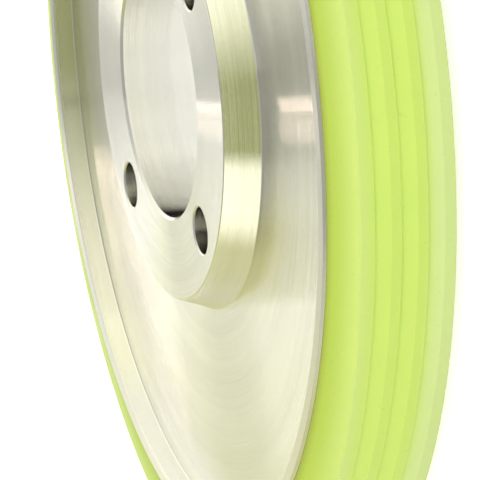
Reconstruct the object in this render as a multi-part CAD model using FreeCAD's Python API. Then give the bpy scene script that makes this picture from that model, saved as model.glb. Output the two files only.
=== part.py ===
import FreeCAD, Part
import math
import os

# A drive wheel: a hub turned from aluminium, with a polyurethane tyre cast onto its rim.
# It lies on its flat back, with the raised boss up. The axle line is Z, and z = 0 is the back face.

# Driving dimensions of the tyre, in millimetres
tread_radius = 100.0
tyre_thickness = 11.3
sidewall_lean = 2.0
front_rib_width = 2.75
middle_rib_width = 1.9
back_rib_width = 2.1
groove_count = 3
groove_width = 2.95
groove_depth = 0.6
groove_wall_run = 0.2
groove_root_radius = 0.15
rib_edge_radius = 0.25
tyre_root_radius = 0.2

# Driving dimensions of the hub
rim_wall = 3.2
rim_chamfer = 0.5
rim_edge_radius = 0.4
web_recess = 4.2
root_fillet = 0.3
boss_stand = 2.5
boss_wall = 16.0
boss_draft_angle = 21.0
boss_edge_radius = 0.35
bore_diameter = 50.0
bore_chamfer = 0.5
bolt_hole_count = 4
bolt_hole_diameter = 9.0
bolt_hole_chamfer = 0.3

# Radii from the axle line, from the bore outwards
bore_radius = bore_diameter / 2
bolt_circle_radius = bore_radius + boss_wall / 2
boss_radius = bore_radius + boss_wall
rim_radius = tread_radius - tyre_thickness
rim_inner_radius = rim_radius - rim_wall

# Heights above the middle of the tread, where both sides of the wheel start from
groove_pitch = groove_width + middle_rib_width
grooved_width = groove_count * groove_width + (groove_count - 1) * middle_rib_width
tread_edge = (front_rib_width + grooved_width + back_rib_width) / 2
tyre_edge = tread_edge + sidewall_lean
rim_face = tyre_edge + rim_chamfer
boss_face = rim_face + boss_stand
web_face = rim_face - web_recess

# The fillet beside the rim is no taller than the straight wall that it ends on
recess_fillet = min(root_fillet, web_recess - rim_edge_radius)

origin = FreeCAD.Vector(0, 0, 0)
axle_line = FreeCAD.Vector(0, 0, 1)


def corner_arc(before, corner, after, rounding):
    """Give the start, middle and end of an arc that rounds one corner of an outline."""
    to_before = (before - corner).normalize()
    to_after = (after - corner).normalize()
    half_angle = to_before.getAngle(to_after) / 2
    reach = rounding / math.tan(half_angle)
    inset = rounding / math.sin(half_angle) - rounding
    to_centre = (to_before + to_after).normalize()
    return corner + to_before * reach, corner + to_centre * inset, corner + to_after * reach


def turned(outline):
    """Turn a solid about the axle line from corners given as (radius, height, rounding)."""
    points = [FreeCAD.Vector(radius, 0, height) for radius, height, rounding in outline]
    edges = []
    stretch_ends = []
    for place, corner in enumerate(points):
        rounding = outline[place][2]
        if rounding == 0:
            stretch_ends.append((corner, corner))
            continue
        after = points[(place + 1) % len(points)]
        start, middle, end = corner_arc(points[place - 1], corner, after, rounding)
        edges.append(Part.Arc(start, middle, end).toShape())
        stretch_ends.append((start, end))
    for place, ends in enumerate(stretch_ends):
        edges.append(Part.makeLine(stretch_ends[place - 1][1], ends[0]))
    wire = Part.Wire(Part.__sortEdges__(edges))
    return Part.Face(wire).revolve(origin, axle_line, 360)


def mirrored(outline):
    """The same corners on the back of the wheel, in the order that goes on from the front."""
    return [(radius, -height, rounding) for radius, height, rounding in reversed(outline)]


def hub_side(boss_top):
    """Corners of one side of the hub, from the bore out to the rim, with its boss up to that height."""
    foot_radius = boss_radius + (boss_top - web_face) * math.tan(math.radians(boss_draft_angle))
    return [
        (bore_radius, boss_top - bore_chamfer, 0),
        (bore_radius + bore_chamfer, boss_top, 0),
        (boss_radius, boss_top, boss_edge_radius),
        (foot_radius, web_face, root_fillet),
        (rim_inner_radius, web_face, recess_fillet),
        (rim_inner_radius, rim_face, rim_edge_radius),
        (rim_radius - rim_chamfer, rim_face, 0),
        (rim_radius, rim_face - rim_chamfer, 0),
    ]


def hole_mouth(boss_top):
    """Corners of one end of a bolt hole: a chamfer that opens past the face of the boss."""
    hole_radius = bolt_hole_diameter / 2
    past_face = boss_top + bolt_hole_chamfer
    past_radius = hole_radius + 2 * bolt_hole_chamfer
    return [(0, past_face, 0), (past_radius, past_face, 0), (hole_radius, boss_top - bolt_hole_chamfer, 0)]


def make_hub():
    """Boss, web and rim in one piece. The boss tapers, stands proud in front and is flush at the back."""
    hub = turned(hub_side(boss_face) + mirrored(hub_side(rim_face)))
    for number in range(bolt_hole_count):
        hole = turned(hole_mouth(boss_face) + mirrored(hole_mouth(rim_face)))
        hole.translate(FreeCAD.Vector(bolt_circle_radius, 0, 0))
        hole.rotate(origin, axle_line, number * 360 / bolt_hole_count)
        hub = hub.cut(hole)
    return hub


def make_tyre():
    """The cast band on the rim. Each groove round its tread has a steep front wall and then a long ramp."""
    outline = [(rim_radius, tyre_edge, tyre_root_radius), (tread_radius, tread_edge, rib_edge_radius)]
    for number in range(groove_count):
        front_edge = tread_edge - front_rib_width - number * groove_pitch
        outline.append((tread_radius, front_edge, rib_edge_radius))
        outline.append((tread_radius - groove_depth, front_edge - groove_wall_run, groove_root_radius))
        outline.append((tread_radius, front_edge - groove_width, rib_edge_radius))
    outline.append((tread_radius, -tread_edge, rib_edge_radius))
    outline.append((rim_radius, -tyre_edge, tyre_root_radius))
    return turned(outline)


os.makedirs("parts", exist_ok=True)
for node, solid in (("hub", make_hub()), ("tyre", make_tyre())):
    solid.translate(axle_line * rim_face)
    print(node, solid.isValid(), len(solid.Solids), round(solid.Volume), "cubic mm")
    solid.exportStep("parts/" + node + ".step")
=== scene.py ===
# %% [markdown]
# A polyurethane coated wheel lies on its flat back. Two pieces make it: a hub turned from aluminium, and a
# lime green tyre cast onto its rim. The CAD frame already holds both at their real size, with every groove,
# fillet and chamfer in their shape. This lesson gives them their surfaces, then lights and photographs them.

# %% Load the frame
import math

import bpy
from mathutils import Matrix, Vector


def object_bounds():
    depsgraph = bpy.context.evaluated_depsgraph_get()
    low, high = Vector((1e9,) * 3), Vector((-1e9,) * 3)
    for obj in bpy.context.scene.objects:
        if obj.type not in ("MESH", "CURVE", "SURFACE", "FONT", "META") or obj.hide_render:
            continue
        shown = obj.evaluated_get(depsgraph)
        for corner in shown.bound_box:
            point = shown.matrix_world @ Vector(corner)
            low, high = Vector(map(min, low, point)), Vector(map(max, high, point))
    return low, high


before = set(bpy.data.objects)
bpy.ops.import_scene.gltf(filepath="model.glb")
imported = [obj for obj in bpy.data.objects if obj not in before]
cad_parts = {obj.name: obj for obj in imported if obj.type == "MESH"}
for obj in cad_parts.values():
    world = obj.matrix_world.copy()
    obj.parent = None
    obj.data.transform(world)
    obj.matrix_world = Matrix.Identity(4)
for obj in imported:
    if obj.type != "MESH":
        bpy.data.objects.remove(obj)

scene = bpy.context.scene
cad_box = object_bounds()
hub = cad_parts["hub"]
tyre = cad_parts["tyre"]
for node in (hub, tyre):
    print(node.name, len(node.data.vertices), "vertices,", len(node.data.polygons), "faces")

# %% [markdown]
# The picture is a close-up through a long lens. It sees the wheel almost edge on, 17 degrees above the plane
# of its face, with the axle running across the frame. The wheel lies flat here, so the camera takes the
# same seat beside it and is rolled onto its side. A camera could be aimed with a constraint, but turning it
# by three angles keeps its place exact and easy to read.

# %% Set up the camera
camera_place = Vector((-0.3653, -0.5406, 0.2114))
camera_turn = math.radians(-31.34)
camera_tilt = math.radians(73.0)
camera_roll = math.radians(-97.0)
lens_mm = 262.7
sensor_mm = 36.0

camera_data = bpy.data.cameras.new("camera")
camera_data.lens = lens_mm
camera_data.sensor_width = sensor_mm
camera_data.clip_start = 0.01
camera_data.clip_end = 20.0
camera = bpy.data.objects.new("camera", camera_data)
turn = Matrix.Rotation(camera_turn, 4, "Z")
tilt = Matrix.Rotation(camera_tilt, 4, "X")
roll = Matrix.Rotation(camera_roll, 4, "Z")
camera.matrix_world = Matrix.Translation(camera_place) @ turn @ tilt @ roll
scene.collection.objects.link(camera)
scene.camera = camera
print("camera", tuple(round(x, 3) for x in camera.location))

# %% [markdown]
# Every finish below is a small network of nodes. One helper adds a node, sets its options and fills its
# inputs, either with a plain value or with the output of another node. The networks then read from top to
# bottom like a recipe. The same networks could be drawn by hand in the shader editor.

# %% A helper that adds nodes
def add_node(tree, kind, inputs=None, **options):
    """Add a node, set its options, and fill its inputs with values or with other nodes' outputs."""
    node = tree.nodes.new(kind)
    for option, value in options.items():
        setattr(node, option, value)
    for socket, value in (inputs or {}).items():
        if isinstance(value, bpy.types.NodeSocket):
            tree.links.new(value, node.inputs[socket])
        else:
            node.inputs[socket].default_value = value
    return node


print("node helper ready")

# %% [markdown]
# Four steps come back again and again: arithmetic on numbers, arithmetic on directions, a soft fade from one
# number to another, and a mix of two colours. A helper for each keeps the recipes short. The fade is a Map
# Range node on its smooth setting, which eases in and out and so leaves no visible edge.

# %% Helpers for sums, fades and mixes
def do_math(tree, operation, first, second=0.0):
    """One sum, product or other step of arithmetic on two numbers."""
    return add_node(tree, "ShaderNodeMath", {0: first, 1: second}, operation=operation).outputs[0]


def do_vector(tree, operation, first, second=(0.0, 0.0, 0.0)):
    """One step of arithmetic on two directions or colours; a length or a dot product gives a number."""
    node = add_node(tree, "ShaderNodeVectorMath", {0: first, 1: second}, operation=operation)
    return node.outputs["Value" if operation in ("LENGTH", "DOT_PRODUCT") else "Vector"]


def fade(tree, value, start, end, low=0.0, high=1.0):
    """Go smoothly from one number to another while a value passes from start to end."""
    sockets = {"Value": value, "From Min": start, "From Max": end, "To Min": low, "To Max": high}
    return add_node(tree, "ShaderNodeMapRange", sockets, interpolation_type="SMOOTHSTEP").outputs[0]


def blend_colour(tree, factor, first, second):
    """Mix two colours, each a value or the output of another node."""
    sockets = {0: factor, 6: first, 7: second}
    return add_node(tree, "ShaderNodeMix", sockets, data_type="RGBA", clamp_factor=True).outputs[2]


print("sum, fade and mix helpers ready")

# %% [markdown]
# A product studio often wraps shiny parts in a light tent, a shell of white cloth with lamps outside it. A
# world made of a few soft fades does the same as cloth and lamps, with little noise. Three numbers say where
# a ray meets the cloth: how high it is, how near to the camera's side, and how far along the picture. The
# plain light of the tent comes mostly from the camera's side, and it is what lights the green tyre.

# %% Hang the light tent
scene.view_settings.view_transform = "Standard"
towards_camera = Vector((camera_place.x, camera_place.y, 0)).normalized()
along_picture = Vector((-towards_camera.y, towards_camera.x, 0))

tent = bpy.data.worlds.new("light_tent")
tent.use_nodes = True
scene.world = tent
cloth = tent.node_tree
direction = add_node(cloth, "ShaderNodeTexCoord").outputs["Generated"]
height = add_node(cloth, "ShaderNodeSeparateXYZ", {0: direction}).outputs["Z"]
nearness = do_vector(cloth, "DOT_PRODUCT", direction, towards_camera)
sideways = do_vector(cloth, "DOT_PRODUCT", direction, along_picture)
front_level = 1.5
back_level = 0.6
to_front = fade(cloth, nearness, -0.15, 0.25)
to_back = do_math(cloth, "SUBTRACT", 1.0, to_front)
front_light = do_math(cloth, "MULTIPLY", to_front, fade(cloth, height, 0.55, 0.95, front_level, back_level))
plain_light = do_math(cloth, "ADD", front_light, do_math(cloth, "MULTIPLY", to_back, back_level))
print("plain light of the tent with", len(cloth.nodes), "nodes")

# %% [markdown]
# Metal shows little of its own: it shows what stands round it. From this seat the flat faces of the hub
# mirror the far wall of the tent, low down. There a dull middle lies between a bright right end and a bright
# band on the left, and a bright foot runs along the table, strongest just left of the middle and gone at the
# far left. The turned faces draw these out into soft bands that run from the axle. Overhead the wall grows
# duller. The cloth is a little warm, most of all on the left and not at all overhead, and the foot is the
# coolest.

# %% Shade the far wall for the mirror
middle_level = 0.54
right_level = 1.20
band_level = 0.54
foot_level = 0.80
middle_blue = 0.87
left_blue = 0.53
foot_blue = 0.12
far_wall = fade(cloth, sideways, 0.026, 0.046, middle_level, right_level)
left_band = fade(cloth, sideways, 0.01, -0.07, 0.0, band_level)
left_band = do_math(cloth, "MULTIPLY", left_band, fade(cloth, sideways, -0.08, -0.14, 1.0, 0.36))
left_band = do_math(cloth, "MULTIPLY", left_band, fade(cloth, height, 0.55, 0.80, 1.0, 0.1))
foot = fade(cloth, height, 0.24, 0.14, 0.0, foot_level)
foot = do_math(cloth, "MULTIPLY", foot, fade(cloth, sideways, -0.25, -0.05))
foot = do_math(cloth, "MULTIPLY", foot, fade(cloth, sideways, 0.006, -0.006, 0.6, 1.1))
far_wall = do_math(cloth, "MULTIPLY", far_wall, fade(cloth, height, 0.55, 0.80, 1.0, 0.75))
far_wall = do_math(cloth, "ADD", do_math(cloth, "ADD", far_wall, left_band), foot)
overhead = fade(cloth, height, 0.60, 0.90)
blue_share = fade(cloth, sideways, -0.07, -0.13, middle_blue, left_blue)
blue_share = do_math(cloth, "MAXIMUM", overhead, blue_share)
far_blue = do_math(cloth, "MULTIPLY", far_wall, blue_share)
far_blue = do_math(cloth, "ADD", far_blue, do_math(cloth, "MULTIPLY", foot, foot_blue))
far_colour = add_node(cloth, "ShaderNodeCombineXYZ", {0: far_wall, 1: far_wall, 2: far_blue}).outputs[0]
print("far wall from", middle_level, "in the middle to", right_level, "at the right end")

# %% [markdown]
# The tapered side of the boss looks the other way and mirrors the wall on the camera's side. A photographer
# stands a dull card there to give a bright cone some shape. The card is olive, which suits the green of the
# tyre, and it ends within a short stretch on the left, so that the cone turns from dark to bright there. The
# wall grows dull overhead, where the chamfer of the rim looks.

# %% Shade the near wall and its card
near_level = 1.5
overhead_level = 0.46
near_blue_share = 0.76
card_olive = (0.26, 0.31, 0.05, 1.0)
near_wall = fade(cloth, height, 0.45, 0.80, near_level, overhead_level)
card = do_math(cloth, "MULTIPLY", fade(cloth, sideways, -0.70, -0.55), fade(cloth, sideways, 0.75, -0.10))
card = do_math(cloth, "MULTIPLY", card, fade(cloth, height, 0.10, 0.25))
card = do_math(cloth, "MULTIPLY", card, fade(cloth, height, 0.75, 0.60))
near_blue = do_math(cloth, "MULTIPLY", near_wall, do_math(cloth, "MAXIMUM", overhead, near_blue_share))
near_colour = add_node(cloth, "ShaderNodeCombineXYZ", {0: near_wall, 1: near_wall, 2: near_blue}).outputs[0]
near_colour = blend_colour(cloth, card, near_colour, card_olive)
print("near wall from", near_level, "low down to", overhead_level, "overhead")

# %% [markdown]
# The two walls meet at the sides. Only rays that bounce off gloss see the shaded walls, and all other rays
# see the plain light, so the card shapes the metal without dimming the tyre. A Light Path node tells the two
# apart.

# %% Close the tent
mirror_colour = blend_colour(cloth, to_front, far_colour, near_colour)
off_gloss = add_node(cloth, "ShaderNodeLightPath").outputs["Is Glossy Ray"]
tent_colour = blend_colour(cloth, off_gloss, plain_light, mirror_colour)
cloth.links.new(tent_colour, cloth.nodes["Background"].inputs["Color"])
print("light tent with", len(cloth.nodes), "nodes")

# %% [markdown]
# The wheel lies on a large white table top, so wide that its edge never shows. A single face is enough for a
# table that is only seen from above.

# %% Lay the white table
table_half = 3.0
table_corners = [(-table_half, -table_half, 0), (table_half, -table_half, 0)]
table_corners += [(table_half, table_half, 0), (-table_half, table_half, 0)]
table_mesh = bpy.data.meshes.new("table")
table_mesh.from_pydata(table_corners, [], [(0, 1, 2, 3)])
table = bpy.data.objects.new("table", table_mesh)
table.location.z = cad_box[0].z
scene.collection.objects.link(table)
print("table at z =", round(table.location.z, 4))

# %% [markdown]
# The table is matt white and catches the wheel's soft shadow. To the camera, and in mirror images, it glows a
# little as well, so that it reads as clean white paper. That glow puts no light on the wheel, which a
# brighter lamp would.

# %% Paint the table
table_glow = 0.72
table_white = (0.93, 0.93, 0.93, 1.0)
table_paint = bpy.data.materials.new("matt_white")
table_paint.use_nodes = True
paint = table_paint.node_tree
table_surface = paint.nodes["Principled BSDF"]
table_surface.inputs["Base Color"].default_value = table_white
table_surface.inputs["Roughness"].default_value = 0.9
table_surface.inputs["Specular IOR Level"].default_value = 0.1
light_path = add_node(paint, "ShaderNodeLightPath").outputs
seen = do_math(paint, "MAXIMUM", light_path["Is Camera Ray"], light_path["Is Glossy Ray"])
seen = do_math(paint, "MAXIMUM", seen, light_path["Is Transmission Ray"])
glow = add_node(paint, "ShaderNodeEmission", {"Strength": do_math(paint, "MULTIPLY", seen, table_glow)})
both = add_node(paint, "ShaderNodeAddShader", {0: table_surface.outputs[0], 1: glow.outputs[0]})
paint.links.new(both.outputs[0], paint.nodes["Material Output"].inputs["Surface"])
table_mesh.materials.append(table_paint)
print("table glow", table_glow)

# %% [markdown]
# Two small lamps stand behind the wheel, each a narrow upright strip with a warm light. Turned metal
# stretches their mirror images into streaks that run out from the axle, which is what tells the eye that the
# face was cut on a lathe. The strips are so weak that only these streaks show them.

# %% Stand two strip lamps behind the wheel
lamp_rise = math.radians(31.0)
lamp_distance = 0.5
lamp_tallness = 0.05
lamp_colour = (1.0, 0.81, 0.69)


def add_strip_lamp(name, side_angle, width, power):
    """A narrow upright lamp on the far side of the wheel, turned aside by an angle and aimed at the wheel."""
    side = math.radians(side_angle)
    away = along_picture * math.sin(side) - towards_camera * math.cos(side)
    place = (away * math.cos(lamp_rise) + Vector((0, 0, math.sin(lamp_rise)))) * lamp_distance
    lamp_data = bpy.data.lights.new(name, "AREA")
    lamp_data.shape = "RECTANGLE"
    lamp_data.size = width
    lamp_data.size_y = lamp_tallness
    lamp_data.color = lamp_colour
    lamp_data.energy = power
    lamp = bpy.data.objects.new(name, lamp_data)
    lamp.location = place
    lamp.rotation_euler = (-place).to_track_quat("-Z", "Y").to_euler()
    scene.collection.objects.link(lamp)
    print(name, tuple(round(x, 2) for x in place))


add_strip_lamp("narrow_lamp", -1.65, 0.006, 0.0065)
add_strip_lamp("wide_lamp", -2.95, 0.011, 0.0054)

# %% [markdown]
# Both pieces were finished on a lathe, so their marks run in rings round the axle. For every finish the
# useful facts about a point are its distance from the axle and its height above the table. Object
# coordinates give both, because the frame keeps the axle on the Z axis of each piece.

# %% Places on the lathe
def lathe_places(tree):
    """The place of a point on the wheel, its distance from the axle and its height above the table."""
    spot = add_node(tree, "ShaderNodeTexCoord").outputs["Object"]
    across = do_vector(tree, "MULTIPLY", spot, (1.0, 1.0, 0.0))
    lift = add_node(tree, "ShaderNodeSeparateXYZ", {0: spot}).outputs["Z"]
    return spot, do_vector(tree, "LENGTH", across), lift


print("lathe places ready")

# %% [markdown]
# The hub is bare aluminium. The lathe tool leaves rings finer than a hair, and here and there it cuts a
# little brighter or duller. Noise along the path of the tool gives the rings, a broad one for the tone that
# the eye can follow and a fine one for the grooves. Height counts more than distance in that path, so that
# no chamfer runs along a single ring. A third noise in space stands for the smears that hands leave.

# %% Rings and smears of the turned aluminium
aluminium = bpy.data.materials.new("turned_aluminium")
aluminium.use_nodes = True
metal = aluminium.node_tree
metal_shader = metal.nodes["Principled BSDF"]
metal_spot, metal_radius, metal_lift = lathe_places(metal)
lift_weight = 1.7
tool_path = do_math(metal, "ADD", metal_radius, do_math(metal, "MULTIPLY", metal_lift, lift_weight))
broad_noise = {"W": tool_path, "Scale": 160.0, "Detail": 2.0}
broad_rings = add_node(metal, "ShaderNodeTexNoise", broad_noise, noise_dimensions="1D").outputs[0]
fine_noise = {"W": tool_path, "Scale": 60000.0, "Detail": 2.0}
fine_rings = add_node(metal, "ShaderNodeTexNoise", fine_noise, noise_dimensions="1D").outputs[0]
smear_noise = {"Vector": metal_spot, "Scale": 45.0, "Detail": 3.0}
smears = add_node(metal, "ShaderNodeTexNoise", smear_noise).outputs[0]
print("rings and smears with", len(metal.nodes), "nodes")

# %% [markdown]
# Rings and smears together shift the tone of the metal between two close greys, both a touch warm, and the
# rings shift its polish. Fresh cut metal is nearly a mirror along the groove, so the roughness stays low.
# Only the narrow lip of the rim, which takes the knocks, is duller, and its height and its distance from the
# axle find it.

# %% Tone and polish of the aluminium
dull_grey = (0.79, 0.78, 0.74, 1.0)
bright_grey = (0.84, 0.83, 0.79, 1.0)
least_rough = 0.09
most_rough = 0.11
lip_wear = 0.18
rings = do_math(metal, "ADD", broad_rings, fine_rings)
tone = fade(metal, do_math(metal, "ADD", rings, smears), 1.1, 1.9)
metal_colour = blend_colour(metal, tone, dull_grey, bright_grey)
metal.links.new(metal_colour, metal_shader.inputs["Base Color"])
roughness = fade(metal, rings, 0.7, 1.3, least_rough, most_rough)
on_lip = fade(metal, metal_lift, 0.0219, 0.0221)
on_lip = do_math(metal, "MULTIPLY", on_lip, fade(metal, metal_radius, 0.0845, 0.0855))
roughness = do_math(metal, "ADD", roughness, do_math(metal, "MULTIPLY", on_lip, lip_wear))
metal.links.new(roughness, metal_shader.inputs["Roughness"])
metal_shader.inputs["Metallic"].default_value = 1.0
print("roughness from", least_rough, "to", most_rough, "and", lip_wear, "more on the lip")

# %% [markdown]
# Each groove has two sloping sides, so the surface leans in and out across the rings and never along them.
# That is what stretches every mirror image into a band from the axle outwards. A Bump node measures its
# slope between neighbouring pixels, which are wider than these grooves, so the lean is worked out here as a
# direction instead. Anisotropy does the same for what is finer still, and a weak bump adds the smears.

# %% Grooves of the aluminium
groove_slope = 0.3
around = do_vector(metal, "NORMALIZE", do_vector(metal, "CROSS_PRODUCT", (0.0, 0.0, 1.0), metal_spot))
facing = add_node(metal, "ShaderNodeNewGeometry").outputs["Normal"]
over_rings = do_vector(metal, "CROSS_PRODUCT", facing, around)
slope = fade(metal, fine_rings, 0.2, 0.8, -groove_slope, groove_slope)
lean = do_vector(metal, "MULTIPLY", over_rings, slope)
groove_side = do_vector(metal, "NORMALIZE", do_vector(metal, "ADD", facing, lean))
smear_bump = {"Height": smears, "Strength": 0.1, "Distance": 0.00002, "Normal": groove_side}
metal_bump = add_node(metal, "ShaderNodeBump", smear_bump)
metal.links.new(metal_bump.outputs[0], metal_shader.inputs["Normal"])
metal.links.new(around, metal_shader.inputs["Tangent"])
metal_shader.inputs["Anisotropic"].default_value = 1.0
metal_shader.inputs["Anisotropic Rotation"].default_value = 0.25
hub.material_slots[0].material = aluminium
print("aluminium on", hub.name)

# %% [markdown]
# The tyre is lime green polyurethane, poured round the rim, a little clear and soft to the light. On the
# tread the ramps keep the brighter green of the mould, and the ribs between them are painted a shade darker,
# a painted shade for the light that the tilted ramps catch and the flat rib tops miss.
# The ribs come back at one pitch, so a remainder of the height finds them. Towards both edges the band is
# thin, light gets through it, and the green there is painted paler, a painted glow of that light.

# %% Greens of the tread
polyurethane = bpy.data.materials.new("lime_polyurethane")
polyurethane.use_nodes = True
cast = polyurethane.node_tree
cast_shader = cast.nodes["Principled BSDF"]
cast_spot, cast_radius, cast_lift = lathe_places(cast)
mould_green = (0.63, 0.80, 0.165, 1.0)
edge_glow_green = (0.66, 0.78, 0.31, 1.0)
rib_painted_shade = 0.94
first_ramp = 0.01725
ramp_pitch = 0.00485
steps = do_math(cast, "DIVIDE", do_math(cast, "SUBTRACT", first_ramp, cast_lift), ramp_pitch)
steps = do_math(cast, "MINIMUM", do_math(cast, "MAXIMUM", steps, -0.3), 2.999)
# Painted shade: the ribs are painted darker than the ramps, for light that falls on the ramps more.
painted_rib_shade = fade(cast, do_math(cast, "FLOORED_MODULO", steps, 1.0), 0.60, 0.62, 1.0, rib_painted_shade)
# Painted glow: both edges of the tread are painted paler, for the light that gets through the thin band
# there.
lower_edge = fade(cast, cast_lift, 0.0086, 0.0052)
upper_edge = fade(cast, cast_lift, 0.0165, 0.0205, 0.0, 0.5)
edge_glow = do_math(cast, "MAXIMUM", lower_edge, upper_edge)
tread_colour = blend_colour(cast, edge_glow, mould_green, edge_glow_green)
tread_colour = do_vector(cast, "MULTIPLY", tread_colour, painted_rib_shade)
print("greens of the tread with", len(cast.nodes), "nodes")

# %% [markdown]
# On the leaning side walls the green is painted darkest beside the metal, a painted shade for the light that
# the rim keeps away, and it is painted brighter outwards to a painted glow at the shoulder, where light comes
# through from the tread. Distance from the axle drives that change. Height tells the side walls from the
# tread.

# %% Greens of the side walls
painted_shade_green = (0.47, 0.56, 0.07, 1.0)
wall_green = (0.58, 0.77, 0.085, 1.0)
painted_glow_green = (0.755, 0.955, 0.225, 1.0)
# Painted shade beside the metal and painted glow towards the shoulder, both put into the green itself.
side_shade_and_glow = blend_colour(cast, fade(cast, cast_radius, 0.0880, 0.0915), painted_shade_green, wall_green)
side_shade_and_glow = blend_colour(cast, fade(cast, cast_radius, 0.0900, 0.1000), side_shade_and_glow, painted_glow_green)
front_side = fade(cast, cast_lift, 0.0199, 0.0201)
back_side = fade(cast, cast_lift, 0.0026, 0.0024)
on_side = do_math(cast, "MAXIMUM", front_side, back_side)
clean_colour = blend_colour(cast, on_side, tread_colour, side_shade_and_glow)
print("greens of the side walls between", painted_shade_green[:3], "and", painted_glow_green[:3])

# %% [markdown]
# Beside the metal the side wall was trimmed on the lathe, and a regular wave in the distance from the axle
# draws those fine lines. The casting also holds a few tiny specks and soft clouds, which are noise at two
# scales. All of them only shade the green by a few parts in a hundred, because the real surface looks clean.

# %% Trim lines, specks and clouds
trim_pitch = 0.0007
trim_wave = do_math(cast, "SINE", do_math(cast, "MULTIPLY", cast_radius, 2 * math.pi / trim_pitch))
trim_depth = do_math(cast, "MULTIPLY", fade(cast, cast_radius, 0.0975, 0.0915, 0.0, 0.035), on_side)
trim_lines = do_math(cast, "MULTIPLY", trim_wave, trim_depth)
specks = add_node(cast, "ShaderNodeTexNoise", {"Vector": cast_spot, "Scale": 900.0, "Detail": 1.0}).outputs[0]
clouds = add_node(cast, "ShaderNodeTexNoise", {"Vector": cast_spot, "Scale": 60.0, "Detail": 2.0}).outputs[0]
dark_specks = fade(cast, specks, 0.70, 0.76, 0.0, -0.05)
cloud_shade = fade(cast, clouds, 0.3, 0.7, 0.99, 1.01)
shade = do_math(cast, "ADD", cloud_shade, do_math(cast, "ADD", trim_lines, dark_specks))
cast_colour = do_vector(cast, "MULTIPLY", clean_colour, shade)
cast.links.new(cast_colour, cast_shader.inputs["Base Color"])
print("trim lines every", trim_pitch * 1000, "mm")

# %% [markdown]
# Cast polyurethane has the dull gloss of wax. The clouds vary its roughness, and specks and clouds raise a
# very fine bump. Light enters it and spreads a few millimetres before it comes out, which subsurface
# scattering does. Half of it is enough, because the colour above already holds the painted glow of the pale
# edges and the shoulder.

# %% Waxy gloss of the polyurethane
wax_roughness = fade(cast, clouds, 0.3, 0.7, 0.40, 0.50)
cast.links.new(wax_roughness, cast_shader.inputs["Roughness"])
skin = do_math(cast, "ADD", specks, clouds)
cast_bump = add_node(cast, "ShaderNodeBump", {"Height": skin, "Strength": 0.2, "Distance": 0.00003})
cast.links.new(cast_bump.outputs[0], cast_shader.inputs["Normal"])
cast_shader.inputs["Specular IOR Level"].default_value = 0.3
cast_shader.inputs["Subsurface Weight"].default_value = 0.5
cast_shader.inputs["Subsurface Radius"].default_value = (0.8, 1.0, 0.25)
cast_shader.inputs["Subsurface Scale"].default_value = 0.003
tyre.material_slots[0].material = polyurethane
print("polyurethane on", tyre.name)
